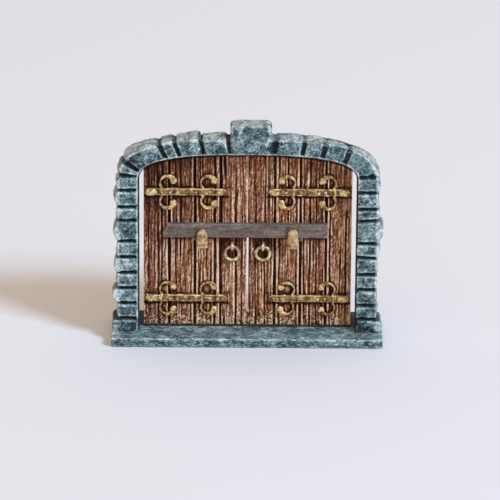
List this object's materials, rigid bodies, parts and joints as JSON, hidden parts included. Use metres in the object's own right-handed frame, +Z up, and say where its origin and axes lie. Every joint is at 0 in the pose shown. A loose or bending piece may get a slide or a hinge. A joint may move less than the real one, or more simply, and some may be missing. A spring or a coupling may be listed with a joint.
{
  "type": "miniature arched double door",
  "caption": "Tabletop arched double gate: stone frame with a keystone on a stone base, planked leaves, scrolled strap hinges, hooks, bar and pull rings.",
  "frame": {"origin": "middle of the base's underside", "axes": "X along the gate, Y from the bar side to the back, Z up"},
  "size_m": [0.088, 0.027, 0.073],
  "materials": {
    "stone": "painted and dry-brushed",
    "painted_wood": "painted and dry-brushed",
    "bar_wood": "painted matt",
    "gilt_strap": "antique gold paint",
    "gilt_hook": "pale gold paint",
    "gilt_ring": "pale gold paint",
    "pin_wire": "drawn wire"
  },
  "bodies": {
    "frame": {"base_sill": "stone", "stone_arch": "stone"},
    "bar": {"locking_bar": "bar_wood"},
    "left_door": {"left_leaf": "painted_wood", "left_upper_strap": "gilt_strap", "left_lower_strap": "gilt_strap", "left_bar_hook": "gilt_hook", "left_ring_staple": "gilt_ring", "left_upper_pin": "pin_wire", "left_lower_pin": "pin_wire"},
    "right_door": {"right_leaf": "painted_wood", "right_upper_strap": "gilt_strap", "right_lower_strap": "gilt_strap", "right_bar_hook": "gilt_hook", "right_ring_staple": "gilt_ring", "right_upper_pin": "pin_wire", "right_lower_pin": "pin_wire"},
    "left_ring": {"left_pull_ring": "gilt_ring"},
    "right_ring": {"right_pull_ring": "gilt_ring"}
  },
  "joints": [
    {"name": "left_door_hinge", "type": "hinge", "parent": "frame", "child": "left_door", "pos_m": [-0.0326, 0.00002, 0.03], "axis": [0, 0, 1], "range_deg": [0, 90]},
    {"name": "right_door_hinge", "type": "hinge", "parent": "frame", "child": "right_door", "pos_m": [0.0326, 0.00002, 0.03], "axis": [0, 0, -1], "range_deg": [0, 90]},
    {"name": "left_ring_swing", "type": "hinge", "parent": "left_door", "child": "left_ring", "pos_m": [-0.005, -0.00215, 0.0311], "axis": [-1, 0, 0], "range_deg": [0, 120]},
    {"name": "right_ring_swing", "type": "hinge", "parent": "right_door", "child": "right_ring", "pos_m": [0.005, -0.00215, 0.0311], "axis": [-1, 0, 0], "range_deg": [0, 120]},
    {"name": "bar_lift", "type": "slide", "parent": "frame", "child": "bar", "axis": [0, 0, 1], "range_m": [0, 0.0038]}
  ]
}
